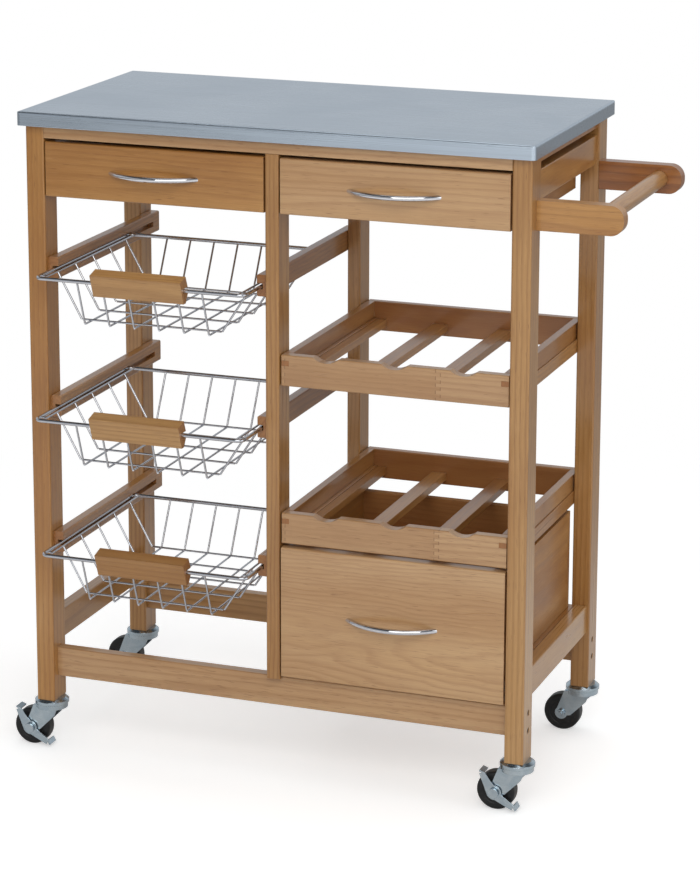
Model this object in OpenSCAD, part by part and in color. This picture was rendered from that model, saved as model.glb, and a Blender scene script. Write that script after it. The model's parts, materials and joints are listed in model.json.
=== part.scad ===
// Kitchen island cart: wooden frame on swivel casters, steel worktop, three drawers,
// three wire baskets, two wine racks and a push handle. Millimetres, +Z up, front is -Y.
// Origin: on the floor, at the centre of the overall footprint.

/* [Frame] */
// outer width over the legs
frame_w = 670; // [560:5:900]
// outer depth over the legs
frame_d = 334; // [300:2:450]
// length of a leg, caster cup to worktop core
leg_h = 770; // [700:5:820]
// leg width, side to side
leg_w = 25; // [20:1:45]
// leg depth, front to back
leg_d = 37; // [30:1:50]
// width of the two middle posts
post_w = 18; // [14:1:30]
// left face of the middle posts from the left leg's outer face
post_x = 326; // [250:1:420]
// thickness of rails and aprons
rail_t = 17; // [12:1:22]
// inset of side rails from the legs' outer faces
side_in = 4; // [0:1:8]
// height of side rails, aprons and middle rails
side_h = 38; // [30:1:60]
// top of the lower side rails above the leg ends
side_top = 114; // [90:1:150]
// top of the upper side aprons above the leg ends
apron_top = 749; // [700:1:760]

/* [Cross rails] */
// bottom of the top front and back rails
top_rail_z = 753.5; // [730:0.5:760]
// bottom of the lower front and back rails
low_rail_z = 31.5; // [20:0.5:60]
// height of the lower front and back rails
low_rail_h = 39.5; // [30:0.5:60]
// setback of the lower rails behind the leg fronts
low_rail_in = 12.5; // [0:0.5:18]

/* [Worktop] */
// overhang at the sides
over_x = 7; // [0:1:30]
// overhang at the front and back
over_y = 12; // [0:1:40]
// height of the folded edge
skirt_h = 18; // [12:1:40]
// steel sheet thickness
sheet_t = 1.2; // [0.6:0.1:2]
// radius of the bend along the top edges
bend_r = 3; // [1:0.5:6]

/* [Push handle] */
// how far the arms stand out from the legs
arm_l = 109; // [80:1:160]
// arm height
arm_h = 37; // [25:1:50]
// arm thickness
arm_t = 18; // [14:1:24]
// underside of the arms above the leg ends
arm_z = 679; // [600:1:730]
// round bar diameter
bar_d = 22; // [16:1:32]
// bar centre from the legs' outer faces
bar_x = 79.5; // [50:0.5:130]

/* [Drawers] */
// underside of the two small drawer fronts
small_z = 679; // [600:0.5:700]
// height of the small drawer fronts
small_h = 70.5; // [50:0.5:120]
// underside of the big drawer front
big_z = 75.5; // [72:0.5:90]
// height of the big drawer front
big_h = 173; // [100:0.5:180]
// thickness of a drawer front
front_t = 18; // [12:1:22]
// thickness of drawer box walls
wall_t = 11; // [8:1:15]
// gap round a drawer front
front_gap = 2; // [1:0.5:4]
// length of a handle
bow_l = 112; // [64:2:160]
// how far a handle stands out
bow_out = 25; // [18:1:40]

/* [Baskets] */
// underside of the lowest basket's runner
run_z = 205; // [180:1:240]
// spacing of the runners
run_step = 183; // [150:1:200]
// runner height
run_h = 28; // [20:1:35]
// runner thickness
run_t = 14; // [12:1:20]
// depth of a basket below its rim
basket_h = 60; // [40:1:120]
// how far the lowest basket stands out of the frame
basket_out_low = 47; // [0:1:70]
// how far the middle basket stands out of the frame
basket_out_middle = 58; // [0:1:70]
// how far the top basket stands out of the frame
basket_out_top = 48; // [0:1:70]
// length of a basket rim, front to back
basket_l = 286; // [240:1:300]
// rim wire diameter
rim_d = 5; // [3:0.5:6]
// thin wire diameter
wire_d = 2.6; // [2:0.1:4]
// length of a wooden grip
grip_l = 123; // [90:1:200]

/* [Wine racks] */
// underside of the lower rack's front board
rack_lo = 253; // [250:1:300]
// underside of the upper rack's front board
rack_hi = 459; // [400:1:520]
// height of a rack's front and back boards
rack_h = 40; // [30:1:60]
// height of the supporting rails
rack_rail_h = 18; // [14:1:25]
// spacing of the bottle notches
notch_step = 90; // [80:1:110]
// width of a notch
notch_w = 34; // [28:1:50]
// depth of a notch
notch_d = 6; // [4:0.5:14]

/* [Casters] */
// wheel diameter
wheel_d = 50; // [40:1:60]
// wheel width
wheel_w = 18; // [14:1:22]
// leg ends above the floor
lift = 68; // [62:1:80]
// swivel offset of the wheel
trail = 26; // [18:1:34]

/* [Hidden] */

e = 0.1;                                   // parting gap between solids of one piece
in_l = leg_w;                              // left column, inner faces
in_r = frame_w - leg_w;                    // right column, inner face
post_r = post_x + post_w;
span_d = frame_d - 2 * leg_d;              // clear depth between front and back legs
col_c = (in_l + post_x) / 2;               // centre of the left column
rack_c = (post_r + in_r) / 2;              // centre of the right column
stem_x = [leg_w / 2, frame_w - leg_w / 2];
stem_y = [leg_d / 2, frame_d - leg_d / 2];
axle_z = wheel_d / 2 - lift;
grip_out = 13;
x_min = leg_w / 2 - trail - wheel_d / 2;
x_max = frame_w + arm_l;
outs = [basket_out_low, basket_out_middle, basket_out_top];
y_min = -max(outs) - grip_out;
y_max = frame_d + over_y;
ox = -(x_min + x_max) / 2;
oy = -(y_min + y_max) / 2;

pine = [0.72, 0.5, 0.3];
steel = [0.72, 0.75, 0.78];
chrome = [0.8, 0.81, 0.83];
zinc = [0.6, 0.63, 0.66];
rubber = [0.06, 0.06, 0.06];

// ---------- helpers ----------
function arc2(cx, cy, r, a, n) = [for (i = [0:n]) [cx + r * cos(a + 90 * i / n),
                                                   cy + r * sin(a + 90 * i / n)]];
module rrect(w, d, r, n = 4)
    polygon(concat(arc2(w - r, d - r, r, 0, n), arc2(r, d - r, r, 90, n),
                   arc2(r, r, r, 180, n), arc2(w - r, r, r, 270, n)));
// rounded bars standing up, lying along X and lying along Y
module bar_z(p, w, d, l, r) translate(p) linear_extrude(l) rrect(w, d, r);
module bar_x(p, l, d, h, r) translate(p) rotate([90, 0, 90]) linear_extrude(l) rrect(d, h, r);
module bar_y(p, w, l, h, r)
    translate([p[0], p[1] + l, p[2]]) rotate([90, 0, 0]) linear_extrude(l) rrect(w, h, r);
module at() translate([ox, oy, lift]) children();
module rod(p, q, d) {
    v = q - p;
    translate(p) rotate([0, acos(v[2] / norm(v)), atan2(v[1], v[0])])
        cylinder(h = norm(v), d = d, $fn = 24);
}
module cyl_x(p, l, d) translate(p) rotate([0, 90, 0]) cylinder(h = l, d = d, $fn = 48);
module cyl_y(p, l, d) translate(p) rotate([-90, 0, 0]) cylinder(h = l, d = d, $fn = 48);

// ---------- worktop ----------
module top_outer(g, r)
    intersection() {
        translate([g - over_x, g - over_y, 0])
            linear_extrude(leg_h + skirt_h - g)
                rrect(frame_w + 2 * (over_x - g), frame_d + 2 * (over_y - g), r + 2);
        translate([g - over_x, frame_d + over_y - g, 0]) rotate([90, 0, 0])
            linear_extrude(frame_d + 2 * (over_y - g))
                translate([0, leg_h]) edge2(frame_w + 2 * (over_x - g), skirt_h - g, r);
        translate([g - over_x, g - over_y, 0]) rotate([90, 0, 90])
            linear_extrude(frame_w + 2 * (over_x - g))
                translate([0, leg_h]) edge2(frame_d + 2 * (over_y - g), skirt_h - g, r);
    }
module edge2(w, h, r)
    polygon(concat([[0, 0], [w, 0]], arc2(w - r, h - r, r, 0, 4), arc2(r, h - r, r, 90, 4)));
module top_sheet() color(steel) at() difference() {
    top_outer(0, bend_r);
    top_outer(sheet_t, bend_r - sheet_t);
}
module top_core() color(pine) at() top_outer(sheet_t + 0.1, bend_r - sheet_t);

// ---------- frame ----------
module leg(i, j) color(pine) at() difference() {
    bar_z([i * in_r, j * (frame_d - leg_d), 0], leg_w, leg_d, leg_h, 2);
    translate([stem_x[i], stem_y[j], -1]) cylinder(h = 32, d = 8.2, $fn = 32);
    for (z = [low_rail_z + 7.5, low_rail_z + 31])
        cyl_x([i == 0 ? -1 : frame_w - 3.5, screw_y(j), z], 4.5, 8);
}
function screw_y(j) = j == 0 ? low_rail_in + 8 : frame_d - low_rail_in - 8;
module leg_front_left() leg(0, 0);
module leg_front_right() leg(1, 0);
module leg_back_left() leg(0, 1);
module leg_back_right() leg(1, 1);
module post(y) color(pine) at()
    bar_z([post_x, y, low_rail_z + low_rail_h], post_w, leg_d,
          top_rail_z - low_rail_z - low_rail_h, 1.5);
module post_front() post(0);
module post_back() post(frame_d - leg_d);
module rail_top_front() color(pine) at()
    bar_x([in_l, 0, top_rail_z], in_r - in_l, 18, leg_h - top_rail_z, 1.5);
module rail_top_back() color(pine) at()
    bar_x([in_l, frame_d - 18, top_rail_z], in_r - in_l, 18, leg_h - top_rail_z, 1.5);
module rail_low_front() color(pine) at()
    bar_x([in_l, low_rail_in, low_rail_z], in_r - in_l, 16, low_rail_h, 1.5);
module rail_low_back() color(pine) at()
    bar_x([in_l, frame_d - low_rail_in - 16, low_rail_z], in_r - in_l, 16, low_rail_h, 1.5);
module side_pair(z) for (x = [side_in, frame_w - side_in - rail_t])
    bar_y([x, leg_d, z], rail_t, span_d, side_h, 1.5);
module rails_side_low() color(pine) at() side_pair(side_top - side_h);
module aprons_side() color(pine) at() side_pair(apron_top - side_h);
// battens under the worktop's ends, above the aprons
batten_h = 12;
module battens_top() color(pine) at() for (x = [side_in, frame_w - side_in - rail_t])
    bar_y([x, leg_d, leg_h - batten_h], rail_t, span_d, batten_h, 1);
module rails_middle() color(pine) at() for (z = [side_top, apron_top])
    bar_y([post_x, leg_d, z - side_h], post_w, span_d, side_h, 1.5);

// grooved runners that carry the basket rims
module runner(x, z, s) difference() {
    bar_y([x, 7, z], run_t, frame_d - 13, run_h, 2);
    translate([s > 0 ? x + run_t - 8 : x - 1, 6, z + 9.5]) cube([9, frame_d - 32, 7]);
}
module runners_left() color(pine) at()
    for (k = [0:2]) runner(in_l, run_z + k * run_step, 1);
module runners_right() color(pine) at()
    for (k = [0:2]) runner(post_x - run_t, run_z + k * run_step, -1);

// rails under the wine racks
module rack_rails() color(pine) at() for (z = [rack_lo, rack_hi], x = [post_r, in_r - 17])
    bar_y([x, 20, z], 17, frame_d - 34, rack_rail_h, 1);

// runners for the drawers: shelves under the big one, battens in the small ones' grooves
module drawer_runners() color(pine) at() {
    translate([frame_w - side_in - rail_t - 22, leg_d, side_top - 18]) cube([22, span_d, 18]);
    translate([post_r, leg_d, side_top - 18]) cube([18, span_d, 18]);
    gz = small_z + 42.5;
    translate([side_in + rail_t, leg_d + 3, gz]) cube([10.5, span_d - 3, 11]);
    translate([post_x - 6.5, leg_d + 3, gz]) cube([6.5, span_d - 3, 11]);
    translate([post_r, leg_d + 3, gz]) cube([6.5, span_d - 3, 11]);
    translate([in_r - 6.5, leg_d + 3, gz]) cube([10.5, span_d - 3, 11]);
}

// ---------- push handle ----------
arm_r = arm_h / 2 - 1.5;                   // radius of an arm's outer corners
module arm2() polygon(concat([[0, 0]], arc2(arm_l - arm_r, arm_r, arm_r, 270, 12),
                             arc2(arm_l - arm_r, arm_h - arm_r, arm_r, 0, 12), [[0, arm_h]]));
module arm(y) color(pine) at() difference() {
    translate([frame_w, y + arm_t, arm_z]) rotate([90, 0, 0]) linear_extrude(arm_t) arm2();
    cyl_y([frame_w + bar_x, leg_d - 10, arm_z + arm_h / 2], span_d + 20, bar_d + 0.2);
}
module arm_front() arm(leg_d - arm_t);
module arm_back() arm(frame_d - leg_d);
module handle_bar() color(pine) at()
    cyl_y([frame_w + bar_x, leg_d - 9.9, arm_z + arm_h / 2], span_d + 19.8, bar_d);

// socket-head screws in the legs' outer faces
module frame_screws() color(zinc) at()
    for (i = [0, 1], j = [0, 1], z = [low_rail_z + 7.5, low_rail_z + 31]) {
        s = i == 0 ? 1 : -1;
        difference() {
            cyl_x([i == 0 ? 1 : frame_w - 3.5, screw_y(j), z], 2.5, 7.6);
            translate([i == 0 ? 0.5 : frame_w - 2, screw_y(j), z]) rotate([0, 90, 0])
                cylinder(h = 1.5, d = 4.6, $fn = 6);
        }
    }

// ---------- drawers ----------
module drawer_front(x0, x1, z, h) color(pine) at()
    bar_x([x0, 0, z], x1 - x0, front_t, h, 2);
// two side walls and a back; groove z below 0 means no groove
module drawer_walls(x0, x1, z, h, l, groove) color(pine) at() {
    for (x = [x0, x1 - wall_t]) difference() {
        translate([x, front_t, z]) cube([wall_t, l, h]);
        if (groove > 0)
            translate([x == x0 ? x0 - 1 : x1 - 5, front_t - 1, groove]) cube([6, l + 2, 12]);
    }
    translate([x0 + wall_t + e, front_t + l - wall_t, z + 8])
        cube([x1 - x0 - 2 * wall_t - 2 * e, wall_t, h - 8]);
}
module drawer_bottom(x0, x1, z, l) color(pine) at()
    translate([x0 + wall_t, front_t, z + 4]) cube([x1 - x0 - 2 * wall_t, l, 4]);
// bow handle: a bent round bar whose ends run into the drawer front
module bow(xc, zc) color(chrome) at() {
    s = bow_out - 3.5;
    r = (bow_l * bow_l / 4 + s * s) / (2 * s);
    a = asin(bow_l / 2 / r) + 4;
    difference() {
        translate([xc, r - s, zc]) rotate([0, 0, 270 - a])
            rotate_extrude(angle = 2 * a, $fn = 96) translate([r, 0]) circle(d = 7, $fn = 24);
        translate([xc - bow_l, 0, zc - 10]) cube([2 * bow_l, 30, 20]);
    }
}
sl0 = in_l + front_gap;
sl1 = post_x - front_gap;
sr0 = post_r + front_gap;
sr1 = in_r - front_gap;
groove_z = small_z + 42;
module drawer_left_front() drawer_front(sl0, sl1, small_z, small_h);
module drawer_left_walls() drawer_walls(sl0, sl1, small_z + 2, 64, 266, groove_z);
module drawer_left_bottom() drawer_bottom(sl0, sl1, small_z + 2, 266);
module drawer_left_handle() bow((sl0 + sl1) / 2, small_z + small_h / 2);
module drawer_right_front() drawer_front(sr0, sr1, small_z, small_h);
module drawer_right_walls() drawer_walls(sr0, sr1, small_z + 2, 64, 266, groove_z);
module drawer_right_bottom() drawer_bottom(sr0, sr1, small_z + 2, 266);
module drawer_right_handle() bow((sr0 + sr1) / 2, small_z + small_h / 2);
module drawer_big_front() drawer_front(sr0, sr1, big_z, big_h);
module drawer_big_walls() drawer_walls(sr0, sr1, side_top + 0.3, 132, 271, -1);
module drawer_big_bottom() drawer_bottom(sr0, sr1, side_top + 0.3, 271);
module drawer_big_handle() bow((sr0 + sr1) / 2, big_z + big_h / 2);

// ---------- wire baskets ----------
rim_w = post_x - in_l - 18;                // centre to centre of the side rim wires
module basket(k) color(chrome) at() {
    z = run_z + k * run_step + 9.8 + rim_d / 2;
    y0 = -outs[k];
    y1 = y0 + basket_l;
    xl = col_c - rim_w / 2;
    xr = col_c + rim_w / 2;
    zf = z - basket_h;
    fx = 45;                               // slope of the sides, inwards
    rc = 9;                                // radius of the rim's corners
    // side combs: rim wire, an inner wire beside it and five sloping wires
    for (s = [-1, 1]) {
        x = col_c + s * rim_w / 2;
        rod([x, y0 + rc + e, z], [x, y1 - rc - e, z], rim_d);
        rod([x - s * 9, y0 + 3.2, z], [x - s * 9, y1 - 3.2, z], wire_d);
        for (y = [y0 + 14, y1 - 14])
            rod([x, y, z + 0.3], [x - s * 9.5, y, z + 0.3], wire_d);
        for (i = [0:4]) {
            y = y0 + 38 + 52.5 * i;
            rod([x - s * 8.6, y + 7, z + 0.4], [x - s * fx, y, zf + 2.2], wire_d);
        }
    }
    // front and back combs: rim wire with six sloping wires
    for (y = [y0, y1])
        rod([xl + rc, y, z], [xr - rc, y, z], rim_d);
    rim_corner([xl + rc, y0 + rc, z], 180, rc);
    rim_corner([xr - rc, y0 + rc, z], 270, rc);
    rim_corner([xr - rc, y1 - rc, z], 0, rc);
    rim_corner([xl + rc, y1 - rc, z], 90, rc);
    for (i = [-5:2:5]) {
        x = col_c + 17 * i;
        rod([x, y0 + 0.6, z - 1], [x, y0 + 22, zf + 1.6], wire_d);
        rod([x, y1 - 0.6, z - 1], [x, y1 - 32, zf + 1.6], wire_d);
        // floor, front to back
        rod([x, y0 + 23.2, zf], [x, y1 - 33, zf], wire_d);
    }
    // floor, side to side
    for (i = [0:4]) {
        y = y0 + 38 + 52.5 * i;
        rod([xl + fx + 1.3, y, zf + 2.2], [xr - fx - 1.3, y, zf + 2.2], wire_d);
    }
}
// a quarter bend of rim wire
module rim_corner(p, a, r)
    translate(p) rotate([0, 0, a])
        rotate_extrude(angle = 90, $fn = 48) translate([r, 0]) circle(d = rim_d, $fn = 24);
module grip(k) color(pine) at()
    translate([col_c - grip_l / 2, -outs[k], run_z + k * run_step + 9.8 + rim_d / 2])
        rotate([90, 0, 90]) linear_extrude(grip_l)
            polygon([[11.5, 2.6], [5, 17], [-grip_out, 12], [-2, -17], [5, -17],
                     [13, -4], [13, -2.6], [-2.6, -2.6], [-2.6, 2.6]]);
module basket_top_wires() basket(2);
module basket_top_grip() grip(2);
module basket_middle_wires() basket(1);
module basket_middle_grip() grip(1);
module basket_low_wires() basket(0);
module basket_low_grip() grip(0);

// ---------- wine racks ----------
rk0 = post_r + 1.7;
rk1 = in_r - 1.7;
module rack_front(z) color(pine) at() difference() {
    bar_x([rk0, 4, z], rk1 - rk0, 14, rack_h, 1.5);
    r = (notch_w * notch_w / 4 + notch_d * notch_d) / (2 * notch_d);
    for (i = [-1:1]) cyl_y([rack_c + i * notch_step, 0, z + rack_h - notch_d + r], 30, 2 * r);
    for (x = [rk0 - 1, rk1 - 10]) translate([x, 0, z + 26]) cube([11, 30, 7]);
}
module rack_walls(z) color(pine) at() {
    for (x = [rk0, rk1 - 10]) {
        translate([x, 18, z + rack_rail_h + 0.3])
            cube([10, frame_d - 30 - e, rack_h - rack_rail_h - 0.3]);
        translate([x, 4, z + 26]) cube([10, 14.5, 7]);
    }
    bar_x([rk0, frame_d - 12, z], rk1 - rk0, 12, rack_h, 1.5);
}
module rack_slats(z) color(pine) at()
    for (x = [rk0 + 16, rack_c - 55, rack_c + 35, rk1 - 28])
        translate([x, 18, z + 7]) cube([x < rk0 + 20 || x > rk1 - 30 ? 12 : 20,
                                        frame_d - 30, 10]);
module rack_upper_front() rack_front(rack_hi);
module rack_upper_walls() rack_walls(rack_hi);
module rack_upper_slats() rack_slats(rack_hi);
module rack_lower_front() rack_front(rack_lo);
module rack_lower_walls() rack_walls(rack_lo);
module rack_lower_slats() rack_slats(rack_lo);

// ---------- casters ----------
module caster_cups() color(zinc) at() for (x = stem_x, y = stem_y) translate([x, y, 0]) {
    translate([0, 0, -7.5]) cylinder(h = 4, d = 45, $fn = 64);
    translate([0, 0, -3.5]) cylinder(h = 3.5, d1 = 45, d2 = 37, $fn = 64);
    cylinder(h = 30, d = 8, $fn = 32);
}
module fork(i, j) color(zinc) at() translate([stem_x[i], stem_y[j], 0]) {
    translate([0, 0, -14]) cylinder(h = 6, d = 42, $fn = 64);
    translate([-22, -12.5, -14]) cube([30, 25, 3]);
    for (s = [-1, 1]) translate([0, s * 11.5 + 1, 0]) rotate([90, 0, 0]) linear_extrude(2)
        polygon([[-22, -11.5], [13, -11.5], [8, -24], [-13, -45], [-trail - 6, axle_z - 5.3],
                 [-trail - 8, axle_z], [-trail - 6, axle_z + 5.5]]);
    for (s = [-1, 1]) cyl_y([-trail, s * 11.5 - 1, axle_z], 2, 17);
    cyl_y([-trail, -18.5, axle_z], 33, 6);
    cyl_y([-trail, 12.5, axle_z], 4, 11);
    if (j == 0) cyl_y([-trail, -19.5, axle_z], 3, 13);
    else cyl_y([-trail, -16.5, axle_z], 4, 11);
}
module wheel(i, j) color(rubber) at() translate([stem_x[i] - trail, stem_y[j], axle_z])
    difference() {
        union() {
            rotate([90, 0, 0]) rotate_extrude($fn = 96) polygon(concat(
                [[0, -wheel_w / 2], [wheel_d / 2 - 9, -wheel_w / 2],
                 [wheel_d / 2 - 8, -wheel_w / 2 - 0.6]],
                arc2(wheel_d / 2 - 4, -wheel_w / 2 + 4 - 0.6, 4, 270, 4),
                arc2(wheel_d / 2 - 4, wheel_w / 2 - 4 + 0.6, 4, 0, 4),
                [[wheel_d / 2 - 8, wheel_w / 2 + 0.6], [wheel_d / 2 - 9, wheel_w / 2],
                 [0, wheel_w / 2]]));
            cyl_y([0, -10.1, 0], 20.2, 14);
        }
        cyl_y([0, -12, 0], 24, 6.15);
    }
// rocker brake lever on the outer face of a front caster
module brake(i) color(zinc) at() translate([stem_x[i] - trail, stem_y[0], axle_z])
    difference() {
        union() {
            translate([0, -14, 0]) rotate([90, 0, 0]) linear_extrude(1.6)
                polygon([[-19.5, 23], [-12.5, 25.5], [-3, 13], [9, -1], [27, -14],
                         [23.5, -20.5], [3, -10.5], [-8.5, -5], [-13, 7]]);
            cyl_y([0, -15.6, 0], 1.6, 19);
            translate([-16.6, -15.6, 25.9]) rotate([0, 20, 0])
                translate([-3.4, 0, -1]) cube([7, 18, 1.8]);
            translate([27, -15.6, -17.6]) rotate([0, 62, 0])
                translate([-3.4, 0, -1]) cube([7, 18, 1.8]);
        }
        cyl_y([0, -20, 0], 10, 6.15);
    }
module fork_front_left() fork(0, 0);
module fork_front_right() fork(1, 0);
module fork_back_left() fork(0, 1);
module fork_back_right() fork(1, 1);
module wheel_front_left() wheel(0, 0);
module wheel_front_right() wheel(1, 0);
module wheel_back_left() wheel(0, 1);
module wheel_back_right() wheel(1, 1);
module brake_left() brake(0);
module brake_right() brake(1);

top_sheet();
top_core();
leg_front_left();
leg_front_right();
leg_back_left();
leg_back_right();
post_front();
post_back();
rail_top_front();
rail_top_back();
rail_low_front();
rail_low_back();
rails_side_low();
aprons_side();
battens_top();
rails_middle();
runners_left();
runners_right();
rack_rails();
drawer_runners();
arm_front();
arm_back();
handle_bar();
frame_screws();
caster_cups();
drawer_left_front();
drawer_left_walls();
drawer_left_bottom();
drawer_left_handle();
drawer_right_front();
drawer_right_walls();
drawer_right_bottom();
drawer_right_handle();
drawer_big_front();
drawer_big_walls();
drawer_big_bottom();
drawer_big_handle();
basket_top_wires();
basket_top_grip();
basket_middle_wires();
basket_middle_grip();
basket_low_wires();
basket_low_grip();
rack_upper_front();
rack_upper_walls();
rack_upper_slats();
rack_lower_front();
rack_lower_walls();
rack_lower_slats();
fork_front_left();
fork_front_right();
fork_back_left();
fork_back_right();
wheel_front_left();
wheel_front_right();
wheel_back_left();
wheel_back_right();
brake_left();
brake_right();
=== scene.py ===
import bpy
import json
import math
from mathutils import Matrix, Vector


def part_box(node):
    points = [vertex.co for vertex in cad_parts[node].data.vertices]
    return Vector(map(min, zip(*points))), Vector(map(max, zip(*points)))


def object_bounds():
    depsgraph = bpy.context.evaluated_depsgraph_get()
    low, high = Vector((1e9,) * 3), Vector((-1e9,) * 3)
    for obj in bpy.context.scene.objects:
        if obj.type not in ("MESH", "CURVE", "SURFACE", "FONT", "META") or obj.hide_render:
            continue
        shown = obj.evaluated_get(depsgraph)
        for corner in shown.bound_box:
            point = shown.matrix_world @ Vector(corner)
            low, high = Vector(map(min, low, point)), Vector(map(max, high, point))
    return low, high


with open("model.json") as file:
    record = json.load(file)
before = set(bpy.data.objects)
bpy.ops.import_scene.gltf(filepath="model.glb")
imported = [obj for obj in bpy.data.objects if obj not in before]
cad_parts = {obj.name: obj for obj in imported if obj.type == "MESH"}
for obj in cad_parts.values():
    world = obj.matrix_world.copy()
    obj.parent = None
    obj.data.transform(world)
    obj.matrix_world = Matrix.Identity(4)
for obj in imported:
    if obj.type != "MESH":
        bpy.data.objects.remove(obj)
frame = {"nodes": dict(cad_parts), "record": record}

cad_lo, cad_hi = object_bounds()
nodes = frame["nodes"]
slots = {s["node"]: s["material_slot"] for s in frame["record"]["subparts"]}

WHITE = (1, 1, 1, 1)


# ---------- colours and node helpers ----------
def srgb(r, g, b):
    """A colour given in 0-255 as it is seen, made linear."""
    def one(c):
        c /= 255
        return c / 12.92 if c <= 0.04045 else ((c + 0.055) / 1.055) ** 2.4
    return (one(r), one(g), one(b), 1.0)


def scaled(colour, factor):
    """The colour made darker or lighter."""
    return tuple(min(1, c * factor) for c in colour[:3]) + (1,)


class Nodes:
    """Short names for building a node tree. A value is a number, a colour or another node's output."""

    def __init__(self, owner):
        owner.use_nodes = True
        self.tree = owner.node_tree
        self.tree.nodes.clear()

    def put(self, socket, value):
        if hasattr(value, "is_output"):
            self.tree.links.new(value, socket)
        elif value is not None:
            socket.default_value = value

    def new(self, kind, *inputs, named=None, **settings):
        """A node with its settings, its first inputs in order and other inputs by name."""
        n = self.tree.nodes.new("ShaderNode" + kind)
        for key, value in settings.items():
            setattr(n, key, value)
        for socket, value in zip(n.inputs, inputs):
            self.put(socket, value)
        for key, value in (named or {}).items():
            self.put(n.inputs[key], value)
        return n

    def math(self, op, *values):
        return self.new("Math", *values, operation=op).outputs[0]

    def vmath(self, op, *values):
        n = self.new("VectorMath", *values, operation=op)
        return n.outputs["Value" if op in ("DOT_PRODUCT", "LENGTH") else "Vector"]

    def split(self, vector):
        return self.new("SeparateXYZ", vector).outputs

    def join(self, x, y, z):
        return self.new("CombineXYZ", x, y, z).outputs[0]

    def noise(self, vector, scale=1.0, detail=3.0, rough=0.5, distortion=0.0, output="Fac"):
        n = self.new("TexNoise", named={"Vector": vector, "Scale": scale, "Detail": detail,
                                        "Roughness": rough, "Distortion": distortion})
        return n.outputs[output]

    def ramp(self, value, stops, smooth=False):
        n = self.new("ValToRGB", value)
        n.color_ramp.interpolation = "EASE" if smooth else "LINEAR"
        elements = n.color_ramp.elements
        while len(elements) < len(stops):
            elements.new(0.5)
        for element, (position, level) in zip(elements, stops):
            element.position = position
            element.color = level if hasattr(level, "__len__") else (level, level, level, 1)
        return n.outputs[0]

    def span(self, value, from_min, from_max, to_min=0.0, to_max=1.0):
        """The value taken from one range to another, and held at its ends."""
        n = self.new("MapRange", named={"Value": value, "From Min": from_min, "From Max": from_max,
                                        "To Min": to_min, "To Max": to_max})
        return n.outputs[0]

    def mix(self, amount, a, b, mode="MIX"):
        n = self.new("Mix", amount, data_type="RGBA", blend_type=mode)
        self.put(n.inputs[6], a)
        self.put(n.inputs[7], b)
        return n.outputs[2]

    def tint(self, colour, mask, low, high, other):
        """The colour mixed to another one. low and high are the mask's two stops and their amounts."""
        return self.mix(self.ramp(mask, [low, high]), colour, other)

    def bump(self, height, strength, distance, normal=None):
        n = self.new("Bump", named={"Strength": strength, "Distance": distance, "Height": height,
                                    "Normal": normal})
        return n.outputs[0]

    def shader(self, kind, *inputs):
        return self.new(kind, *inputs).outputs[0]


class Surface(Nodes):
    """A material with one Principled shader."""

    def __init__(self, name, **constants):
        self.material = bpy.data.materials.new(name)
        super().__init__(self.material)
        named = {key.replace("_", " "): value for key, value in constants.items()}
        self.bsdf = self.new("BsdfPrincipled", named=named)
        self.new("OutputMaterial", self.bsdf.outputs[0])
        coordinates = self.new("TexCoord").outputs
        self.place = coordinates["Object"]
        self.normal = coordinates["Normal"]

    def rub_and_light_edges(self, colour, radius, amount, worn_and_lit):
        """The colour with its sharp edges mixed to another one, partly as rubbed wear and partly as a
        painted highlight, and a normal that rounds them.
        """
        rounded = self.new("Bevel", samples=4, named={"Radius": radius}).outputs[0]
        turn = self.vmath("DOT_PRODUCT", rounded, self.new("NewGeometry").outputs["Normal"])
        edge = self.ramp(turn, [(0.62, 1.0), (0.985, 0.0)])
        return self.mix(self.math("MULTIPLY", edge, amount), colour, worn_and_lit), rounded

    def finish(self, colour, rough, normal):
        for key, value in (("Base Color", colour), ("Roughness", rough), ("Normal", normal)):
            self.put(self.bsdf.inputs[key], value)
        return self.material


# ---------- wood ----------
# each wood has an early tone, a second one and the dark tone of its late rings
HONEY = (srgb(190, 146, 91), srgb(170, 121, 64), srgb(134, 86, 39))
DEEP = (srgb(180, 130, 74), srgb(157, 105, 50), srgb(122, 74, 31))
# paler wood, which on the fronts also paints a sheen
PALE = (srgb(200, 162, 119), srgb(184, 142, 97), srgb(153, 107, 66))
# the next two are darker copies of the wood that paint shade where less light falls
SHADED_GOLD = (srgb(190, 140, 78), srgb(171, 118, 58), srgb(134, 83, 36))
SHADOWED_AMBER = (srgb(158, 98, 40), srgb(137, 79, 29), srgb(108, 58, 20))

INDEX = {"x": 0, "y": 1, "z": 2}
OTHERS = {"x": (1, 2), "y": (0, 2), "z": (0, 1)}


def finger_joints(s, g, v, w, seed, pitch, start, tooth):
    """Staves glued end to end, whose seams step to and fro across the board. It gives the grain's place
    and the board's depth moved for each stave, the stave's tone, and a mask of the glue line."""
    step = s.math("GREATER_THAN", s.math("FRACT", s.math("DIVIDE", w, tooth * 2)), 0.5)
    shifted = s.math("ADD", g, s.math("MULTIPLY_ADD", step, tooth * 1.4, start))
    cell = s.math("DIVIDE", shifted, pitch)
    stave = s.math("FLOOR", cell)
    part = s.math("FRACT", cell)
    near = s.math("MINIMUM", part, s.math("SUBTRACT", 1.0, part))
    glue_width = 0.0005
    glue = s.math("LESS_THAN", near, glue_width / pitch)
    noise = s.new("TexWhiteNoise", noise_dimensions="1D", named={"W": s.math("ADD", stave, seed * 3.7)})
    tone = noise.outputs["Value"]
    g = s.math("ADD", g, s.math("MULTIPLY", stave, 0.731))
    v = s.math("ADD", v, s.math("MULTIPLY", tone, 0.05))
    return g, v, tone, glue


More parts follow.
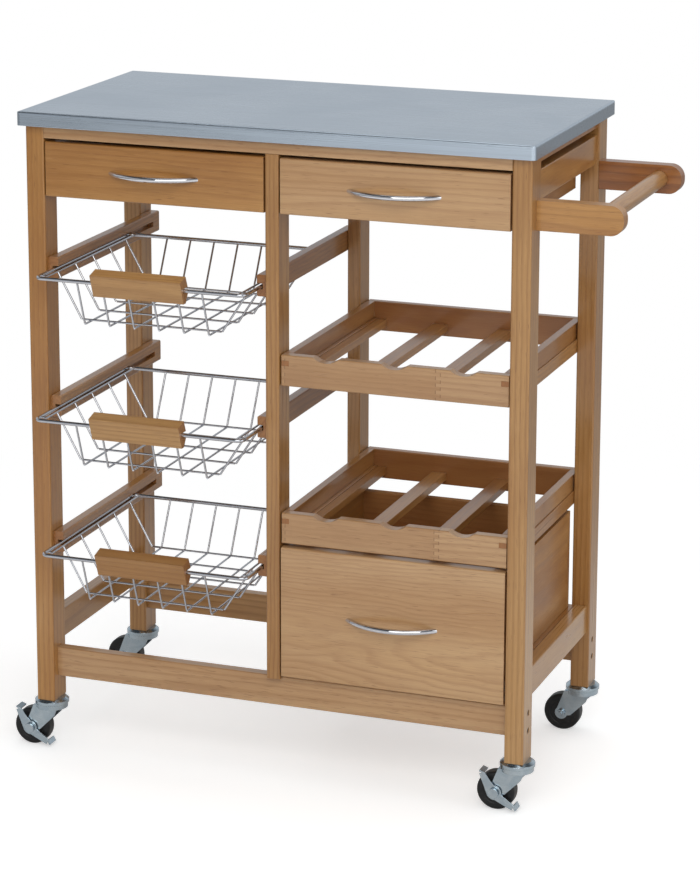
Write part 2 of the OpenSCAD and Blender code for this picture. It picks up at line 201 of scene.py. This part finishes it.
def wood(name, axis, seed, pith, tones=HONEY, ring=0.0055, swirl=0.012, along=2.2,
         contrast=0.6, gloss=0.34, coat=0.5, joints=None, cross=None):
    """Varnished pine with the grain along one axis, cut from rings round a pith that lies off the bar.
    joints are a rack front's staves: pitch, start and tooth. Past the depth cross, a back board's grain
    runs along X."""
    s = Surface(name, Specular_IOR_Level=0.5, Coat_Weight=coat, Coat_Roughness=0.13, Coat_IOR=1.48)
    early, second, late_tone = tones
    p = s.split(s.place)
    g, v, w = (p[i] for i in (INDEX[axis],) + OTHERS[axis])
    if cross is not None:
        back = s.math("GREATER_THAN", p[1], cross)
        front = s.math("SUBTRACT", 1.0, back)
        g = s.math("ADD", s.math("MULTIPLY", p[0], back), s.math("MULTIPLY", p[1], front))
        v = s.math("ADD", s.math("MULTIPLY", p[1], back), s.math("MULTIPLY", p[0], front))
    if joints:
        g, v, tone, glue = finger_joints(s, g, v, w, seed, *joints)
    base = s.join(s.math("ADD", g, seed * 1.37), v, w)

    def streaks(lengthwise, crosswise, *settings, **output):
        stretched = s.vmath("MULTIPLY", base, (lengthwise, crosswise, crosswise))
        return s.noise(stretched, 1.0, *settings, **output)

    # growth rings, as the distance from a pith that wanders
    warp = s.vmath("SUBTRACT", streaks(along, 11.0, 3.0, 0.55, 0.3, output="Color"), (0.5, 0.5, 0.5))
    from_pith = s.join(0.0, s.math("ADD", v, pith[0] + 0.011 * math.sin(seed * 5.1)),
                       s.math("ADD", w, pith[1] + 0.013 * math.cos(seed * 3.3)))
    wander = s.vmath("MULTIPLY", warp, (0.0, swirl * 2, swirl * 2))
    radius = s.vmath("LENGTH", s.vmath("ADD", from_pith, wander))
    ragged = s.math("MULTIPLY", streaks(9.0, 260.0, 2.0, 0.6), 0.16)
    rings = s.math("FRACT", s.math("ADD", s.math("DIVIDE", radius, ring), ragged))
    late = s.ramp(rings, [(0.0, 0.14), (0.22, 0.0), (0.5, 0.22), (0.8, 1.0), (0.92, 0.8), (1.0, 0.14)])
    # broad tones, long clouds of warmer and paler wood, then rings, fibres and short resin ducts
    broad = s.ramp(streaks(1.6, 16.0, 2.0, 0.5), [(0.3, 0.0), (0.7, 1.0)], smooth=True)
    colour = s.mix(broad, early, second)
    cloud = streaks(3.2, 9.0, 3.0, 0.6, 0.5)
    colour = s.tint(colour, cloud, (0.34, 0.3), (0.5, 0.0), late_tone)
    colour = s.tint(colour, cloud, (0.52, 0.0), (0.72, 0.3), srgb(212, 172, 122))
    strength = s.ramp(streaks(1.1, 9.0, 1.0), [(0.3, contrast), (0.7, contrast * 0.35)])
    colour = s.mix(s.math("MULTIPLY", late, strength), colour, late_tone)
    fibre = streaks(26.0, 900.0, 3.0, 0.65)
    colour = s.tint(colour, fibre, (0.25, 0.22), (0.6, 0.0), late_tone)
    colour = s.tint(colour, fibre, (0.55, 0.0), (0.85, 0.25), srgb(222, 178, 122))
    duct = streaks(55.0, 1500.0, 0.0, 0.5)
    colour = s.tint(colour, duct, (0.73, 0.0), (0.8, 0.55), srgb(112, 66, 30))
    if joints:
        colour = s.mix(s.math("MULTIPLY", tone, 0.35), colour, late_tone, "MULTIPLY")
        colour = s.mix(s.math("MULTIPLY", glue, 0.55), colour, srgb(96, 56, 24))
    # cut ends drink more varnish
    facing = s.math("ABSOLUTE", s.split(s.normal)[INDEX[axis]])
    end = s.ramp(facing, [(0.75, 0.0), (0.97, 0.45)])
    colour = s.mix(end, colour, srgb(150, 92, 48))
    # paler edges, partly rubbed wear and partly a painted highlight
    rubbed_and_lit = s.ramp(s.noise(s.place, 60.0, 2.0, 0.6), [(0.35, 0.1), (0.7, 0.4)])
    colour, rounded = s.rub_and_light_edges(colour, 0.0013, rubbed_and_lit, srgb(214, 170, 118))
    grime = s.noise(s.place, 5.0, 3.0, 0.6)
    rough = s.math("ADD", s.math("MULTIPLY_ADD", grime, 0.14, gloss - 0.07), s.math("MULTIPLY", late, -0.05))
    rough = s.math("ADD", rough, s.math("MULTIPLY", end, 0.3))
    height = s.math("ADD", s.math("MULTIPLY", fibre, 0.6), s.math("MULTIPLY", late, 0.5))
    return s.finish(colour, rough, s.bump(height, 0.22, 0.0004, rounded))


# ---------- metals and the rest ----------
def brushed(name, base, rough):
    """Steel brushed along X, with faint smears."""
    s = Surface(name, Metallic=1.0)
    line = s.noise(s.vmath("MULTIPLY", s.place, (7.0, 1400.0, 1400.0)), 1.0, 3.0, 0.6)
    band = s.noise(s.vmath("MULTIPLY", s.place, (2.0, 160.0, 160.0)), 1.0, 2.0, 0.5)
    smear = s.noise(s.place, 4.0, 4.0, 0.6, 0.4)
    light = scaled(base, 1.12)
    colour = s.tint(scaled(base, 0.86), line, (0.3, 0.0), (0.7, 1.0), light)
    colour = s.tint(colour, band, (0.35, 0.0), (0.75, 0.35), base)
    colour = s.tint(colour, smear, (0.45, 0.0), (0.75, 0.14), scaled(base, 0.8))
    # lighter edges, partly rubbed wear and partly a painted highlight
    colour, rounded = s.rub_and_light_edges(colour, 0.0012, 0.5, light)
    smeared = s.math("MULTIPLY", s.ramp(smear, [(0.4, 0.0), (0.8, 1.0)]), 0.1)
    rough = s.math("ADD", s.math("MULTIPLY_ADD", line, 0.14, rough - 0.07), smeared)
    return s.finish(colour, rough, s.bump(line, 0.1, 0.00012, rounded))


def chrome(name, base, rough):
    """Bright plating with cloudy patches, and thin dull lines where it was drawn through the polisher."""
    s = Surface(name, Metallic=1.0)
    cloud = s.noise(s.place, 45.0, 3.0, 0.6)
    fine = s.noise(s.place, 1300.0, 2.0, 0.5)
    line = s.noise(s.vmath("MULTIPLY", s.place, (60.0, 900.0, 900.0)), 1.0, 2.0, 0.6)
    colour = s.tint(base, cloud, (0.4, 0.0), (0.75, 0.3), scaled(base, 0.78))
    colour = s.tint(colour, line, (0.5, 0.0), (0.75, 0.35), scaled(base, 0.55))
    rough = s.math("ADD", s.math("MULTIPLY_ADD", cloud, 0.08, rough - 0.03), s.math("MULTIPLY", fine, 0.02))
    return s.finish(colour, rough, s.bump(fine, 0.03, 0.0001))


def zinc(name):
    """Blue-grey plating in soft patches, brighter at its edges, partly as rubbed wear and partly as a
    painted highlight.
    """
    s = Surface(name, Metallic=1.0)
    patch = s.noise(s.place, 60.0, 3.0, 0.6, 0.6)
    fine = s.noise(s.place, 900.0, 3.0, 0.6)
    colour = s.tint(srgb(176, 192, 203), patch, (0.35, 0.0), (0.7, 1.0), srgb(198, 210, 217))
    colour = s.tint(colour, fine, (0.6, 0.0), (0.85, 0.35), srgb(118, 124, 126))
    # brighter edges, partly rubbed wear and partly a painted highlight
    rubbed_and_lit = s.ramp(s.noise(s.place, 220.0, 2.0, 0.6), [(0.4, 0.1), (0.7, 0.6)])
    colour, rounded = s.rub_and_light_edges(colour, 0.0008, rubbed_and_lit, srgb(214, 216, 214))
    height = s.math("ADD", patch, s.math("MULTIPLY", fine, 0.3))
    return s.finish(colour, s.math("MULTIPLY_ADD", patch, 0.14, 0.15), s.bump(height, 0.06, 0.0003, rounded))


def screw_steel(name):
    """Dull grey-brown steel."""
    s = Surface(name, Metallic=1.0)
    fine = s.noise(s.place, 700.0, 3.0, 0.6)
    colour = s.tint(srgb(92, 88, 80), fine, (0.35, 0.0), (0.7, 1.0), srgb(148, 142, 130))
    # paler edges, partly rubbed wear and partly a painted highlight
    colour, rounded = s.rub_and_light_edges(colour, 0.0005, 0.6, srgb(190, 184, 170))
    return s.finish(colour, s.math("MULTIPLY_ADD", fine, 0.25, 0.28), s.bump(fine, 0.15, 0.0002, rounded))


def rubber(name):
    """Black rubber. Its tread, which faces away from the axle, has picked up floor dust."""
    s = Surface(name, Specular_IOR_Level=0.45)
    dust = s.noise(s.place, 70.0, 4.0, 0.65)
    fine = s.noise(s.place, 1600.0, 2.0, 0.5)
    colour = s.tint(srgb(15, 16, 18), dust, (0.42, 0.0), (0.8, 1.0), srgb(40, 40, 40))
    along_axle = s.math("ABSOLUTE", s.split(s.normal)[INDEX["y"]])
    tread = s.ramp(along_axle, [(0.25, 1.0), (0.6, 0.0)])
    dusty = s.math("MULTIPLY", tread, s.ramp(dust, [(0.35, 0.05), (0.7, 0.5)]))
    colour = s.mix(dusty, colour, srgb(70, 67, 62))
    # lighter edges, partly rubbed wear and partly a painted highlight
    colour, rounded = s.rub_and_light_edges(colour, 0.0008, 0.3, srgb(92, 90, 88))
    height = s.math("ADD", fine, dust)
    return s.finish(colour, s.math("MULTIPLY_ADD", dust, 0.3, 0.3), s.bump(height, 0.12, 0.0003, rounded))


def chipboard(name):
    """Pressed flakes of several browns."""
    s = Surface(name, Specular_IOR_Level=0.3)
    wobble = s.vmath("MULTIPLY", s.noise(s.place, 300.0, 2.0, 0.5, output="Color"), (0.004, 0.004, 0.004))
    cells = s.new("TexVoronoi", feature="F1",
                  named={"Scale": 420.0, "Vector": s.vmath("ADD", s.place, wobble)})
    flake = s.split(cells.outputs["Color"])[0]
    fine = s.noise(s.place, 1500.0, 2.0, 0.6)
    colour = s.ramp(flake, [(0.0, srgb(96, 66, 38)), (0.35, srgb(140, 100, 62)),
                            (0.7, srgb(168, 128, 84)), (1.0, srgb(120, 84, 50))])
    colour = s.tint(colour, fine, (0.5, 0.0), (0.8, 0.4), srgb(84, 56, 32))
    height = s.math("ADD", flake, fine)
    return s.finish(colour, s.math("MULTIPLY_ADD", flake, 0.2, 0.66), s.bump(height, 0.25, 0.0003))


# ---------- a material for every part ----------
WOOD_SLOTS = ("frame_wood", "front_wood", "box_wood", "box_panel", "grip_wood", "rack_wood")
# the grain of bars and fronts runs along X, apart from names that begin like these
GRAIN = {"leg": "z", "post": "z", "rails_": "y", "aprons": "y", "runners": "y", "rack_rails": "y",
         "drawer_runners": "y", "handle_bar": "y"}
# painted light and shade: darker tones for the left front leg, the arms, the side aprons and the left
# drawer, which the light reaches less, the darkest for the back arm in the shade of the top, and paler tones
# that paint a sheen on the front rails and fronts
SHADE_AND_SHEEN_TONES = {"leg_front_left": SHADED_GOLD, "arm_front": SHADED_GOLD, "arm_back": SHADOWED_AMBER, "aprons_side": SHADED_GOLD,
         "rail_low_front": PALE, "rail_top_front": PALE, "drawer_left_front": SHADED_GOLD,
         "drawer_right_front": PALE, "drawer_big_front": PALE, "rack_upper_front": PALE,
         "rack_lower_front": PALE}
INNER_BARS = ("runners_left", "runners_right", "rack_rails", "drawer_runners")
# from a back board's outer face to just past its inner face
RACK_BOARD = 0.0125
BOX_BOARD = 0.0112
# how far apart a rack front's finger joints are, where they start, and the length of a finger
RACK_JOINTS = (0.205, 0.02, 0.0045)


def give(name, material):
    obj = nodes[name]
    if not obj.data.materials:
        obj.data.materials.append(material)
    for slot in obj.material_slots:
        slot.material = material


def seed_of(name):
    """A number from 0 to 10 that is always the same for one name."""
    return (sum((i + 3) * ord(c) for i, c in enumerate(name)) % 997) / 100.0


def wood_of(name, slot):
    """The wood of one bar or board: the grain along it, and the pith outside it."""
    seed = seed_of(name)
    lo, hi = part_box(name)
    mid = (lo + hi) / 2
    side = 1 if math.sin(seed * 7) > 0 else -1
    far = 0.045 + 0.02 * abs(math.sin(seed * 3))
    big = "big" in name
    front = name.endswith("_front")
    if slot in ("box_wood", "box_panel") or (slot == "rack_wood" and not front):
        # the boards inside a drawer or a rack
        axis = "y"
    else:
        axis = next((a for key, a in GRAIN.items() if name.startswith(key)), "x")
    first, second = (mid[i] for i in OTHERS[axis])
    look = {"axis": axis, "seed": seed, "tones": SHADE_AND_SHEEN_TONES.get(name, HONEY),
            "pith": (-first + far * 0.8 * side, -second + far * 0.6)}
    beside = (-first + far * side, -second + far * 0.5)
    if name.startswith("leg"):
        look.update(ring=0.0062, swirl=0.009, along=1.6, contrast=0.62)
    elif name.startswith(("arm", "rail_low", "rail_top")):
        look.update(ring=0.006, swirl=0.01, along=1.8)
    elif slot == "front_wood" and front:
        look.update(pith=(-first + 0.055, -second + (0.015 if big else 0.035)), ring=0.0058,
                    swirl=0.024 if big else 0.014, along=3.0 if big else 1.7, contrast=0.36)
    elif slot == "rack_wood" and front:
        look.update(contrast=0.42, joints=RACK_JOINTS)
    elif slot == "rack_wood":
        look.update(pith=beside, contrast=0.5, tones=DEEP)
        if name.endswith("_walls"):
            look.update(cross=hi.y - RACK_BOARD)
    elif slot == "box_wood":
        look.update(pith=beside, contrast=0.45, tones=DEEP, gloss=0.42, coat=0.15, cross=hi.y - BOX_BOARD)
    elif slot == "box_panel":
        look.update(pith=(-first, -second + 0.12), ring=0.009, swirl=0.03, contrast=0.4, tones=PALE,
                    gloss=0.45, coat=0.1)
    elif slot == "grip_wood":
        look.update(ring=0.006, swirl=0.006, contrast=0.5)
    elif name in INNER_BARS:
        look.update(tones=DEEP, contrast=0.55)
    return wood("wood_" + name, **look)


by_slot = {
    "worktop_steel": brushed("worktop_steel", srgb(196, 209, 222), 0.25),
    "handle_chrome": chrome("handle_chrome", srgb(222, 222, 226), 0.06),
    "wire_chrome": chrome("wire_chrome", srgb(200, 202, 208), 0.13),
    "zinc": zinc("zinc"),
    "screw_steel": screw_steel("screw_steel"),
    "wheel_rubber": rubber("wheel_rubber"),
    "core_board": chipboard("core_board"),
}
for name, slot in slots.items():
    give(name, wood_of(name, slot) if slot in WOOD_SLOTS else by_slot[slot])


# ---------- floor, light and camera ----------
FLOOR_SIZE = 60
FLOOR_GAP = 0.0002
# the floor is shaded nearer to the middle than the first distance, and plain white past the second
SHADED, PLAIN = 0.6, 1.5

# the camera, from the foot of the left front leg, with its angles in degrees
FROM_LEG = (1.70821, -3.46784, 1.44316)
YAW, PITCH, ROLL = 20.112, -13.082, 0.164
LENS = 158.34
SHIFT_Y = -0.2


def floor_material():
    """A white floor. Near the object it takes a shadow, and further off it is plain white for the eye.
    Reflections find it dimmer to the left and behind, as in a studio lit from the front right."""
    material = bpy.data.materials.new("floor_white")
    s = Nodes(material)
    rays = s.new("LightPath").outputs
    seen = rays["Is Camera Ray"]
    mirrored = rays["Is Glossy Ray"]
    glow = s.shader("Emission", WHITE, s.math("MULTIPLY", seen, 0.47))
    near = s.shader("AddShader", s.shader("BsdfDiffuse", (0.84, 0.84, 0.84, 1)), glow)
    place = s.new("TexCoord").outputs["Object"]
    x, y, _ = s.split(place)
    across = s.span(x, -1.8, -1.4, 0.28, 1.0)
    behind = s.new("Mix", s.span(y, -0.4, 0.9), named={"A": across, "B": 0.3}).outputs[0]
    far = s.shader("Emission", WHITE, s.math("MULTIPLY_ADD", mirrored, behind, seen))
    distant = s.span(s.vmath("LENGTH", place), SHADED, PLAIN)
    share = s.math("MULTIPLY", s.math("MAXIMUM", seen, mirrored), distant)
    s.new("OutputMaterial", s.shader("MixShader", share, near, far))
    return material


def studio(world):
    """White for the eye, an even soft light, and a room for metal that is paler behind and dark above."""
    s = Nodes(world)
    rays = s.new("LightPath").outputs
    _, back, up = s.split(s.new("TexCoord").outputs["Generated"])
    depth = s.math("MULTIPLY_ADD", back, 0.5, 0.5)
    walls = s.ramp(depth, [(0.12, (0.42, 0.43, 0.45, 1)), (0.62, (0.6, 0.62, 0.64, 1))])
    room = s.shader("Background", walls, s.span(up, 0.4, 0.7, 1.0, 0.1))
    soft = s.shader("Background", (0.97, 0.985, 1.0, 1), 0.42)
    plain = s.shader("Background", WHITE, 1.0)
    lit = s.shader("MixShader", rays["Is Glossy Ray"], soft, room)
    seen = s.math("MAXIMUM", rays["Is Camera Ray"], rays["Is Transmission Ray"])
    s.new("OutputWorld", s.shader("MixShader", seen, lit, plain))


def lamp(name, place, size, power, colour=(1, 1, 1)):
    """A rectangular lamp, aimed at the middle of the object."""
    data = bpy.data.lights.new(name, "AREA")
    data.shape = "RECTANGLE"
    data.size, data.size_y = size
    data.energy = power
    data.color = colour
    obj = bpy.data.objects.new(name, data)
    bpy.context.scene.collection.objects.link(obj)
    obj.location = place
    obj.rotation_mode = "QUATERNION"
    aim = (cad_lo + cad_hi) / 2 - Vector(place)
    obj.rotation_quaternion = aim.to_track_quat("-Z", "Y")
    obj.visible_camera = False


def camera():
    """The camera, to the right in front of the object and above it."""
    data = bpy.data.cameras.new("camera")
    data.sensor_fit = "HORIZONTAL"
    data.sensor_width = 36
    data.lens = LENS
    data.shift_y = SHIFT_Y
    data.clip_end = 200
    obj = bpy.data.objects.new("camera", data)
    bpy.context.scene.collection.objects.link(obj)
    yaw, pitch, roll = (math.radians(a) for a in (YAW, PITCH, ROLL))
    ahead = Vector((-math.sin(yaw) * math.cos(pitch), math.cos(yaw) * math.cos(pitch), math.sin(pitch)))
    level = Vector((math.cos(yaw), math.sin(yaw), 0))
    upright = level.cross(ahead)
    right = level * math.cos(roll) + upright * math.sin(roll)
    up = upright * math.cos(roll) - level * math.sin(roll)
    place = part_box("leg_front_left")[0] + Vector(FROM_LEG)
    obj.matrix_world = Matrix.Translation(place) @ Matrix((right, up, -ahead)).transposed().to_4x4()
    return obj


bpy.ops.mesh.primitive_plane_add(size=FLOOR_SIZE, location=(0, 0, -FLOOR_GAP))
floor = bpy.context.object
floor.name = "floor"
floor.data.materials.append(floor_material())

scene = bpy.context.scene
scene.world = bpy.data.worlds.new("studio")
studio(scene.world)
lamp("key", (0.9, -3.1, 2.4), (3.2, 2.2), 58, (1, 0.99, 0.96))
lamp("side", (3.0, -0.6, 1.7), (1.4, 1.8), 10, (0.98, 0.99, 1))
lamp("over", (0.2, 0.4, 3.0), (2.6, 2.0), 20)
scene.camera = camera()
scene.view_settings.view_transform = "Standard"
